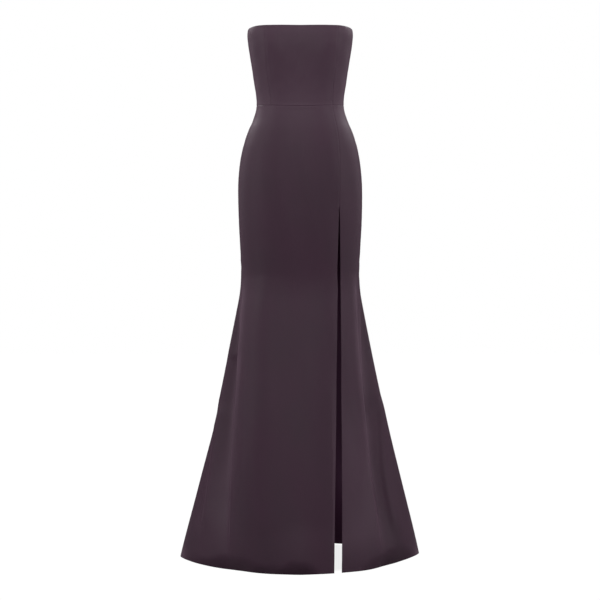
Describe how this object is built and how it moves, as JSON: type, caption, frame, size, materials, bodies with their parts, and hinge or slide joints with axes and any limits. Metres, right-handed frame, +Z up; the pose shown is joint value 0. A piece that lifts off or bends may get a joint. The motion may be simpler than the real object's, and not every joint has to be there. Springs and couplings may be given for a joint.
{
  "type": "strapless gown",
  "caption": "Strapless floor-length gown with princess-seamed bodice, waist seam, fitted hips, flare from the knee and a thigh-high front slit, filled out with no wearer.",
  "frame": {"origin": "centre of the wearer's waist, at the height of the waist seam by the side seams", "axes": "+Z up the wearer's body towards the top edge, -Y the front, +X the wearer's left, the side of the slit"},
  "size_m": [0.6199, 0.5026, 1.3723],
  "materials": {
    "crepe": "smooth dull-faced crepe with a soft sheen",
    "zip_tape": "narrow knitted nylon tape dyed to match",
    "zip_metal": "semi-gloss enamel dyed to match"
  },
  "bodies": {
    "gown": {"bodice_center_front": "crepe", "bodice_side_front_left": "crepe", "bodice_side_front_right": "crepe", "bodice_back_left": "crepe", "bodice_back_right": "crepe", "skirt_front": "crepe", "skirt_side_front": "crepe", "skirt_back_left": "crepe", "skirt_back_right": "crepe", "zip_tape_left": "zip_tape", "zip_tape_right": "zip_tape", "zip_slider": "zip_metal"},
    "zip_pull": {"zip_pull": "zip_metal"}
  },
  "joints": [
    {"name": "zip_pull_swing", "type": "hinge", "parent": "gown", "child": "zip_pull", "pos_m": [0, 0.09432, 0.171], "axis": [1, 0, 0], "range_deg": [-4, 175]}
  ]
}
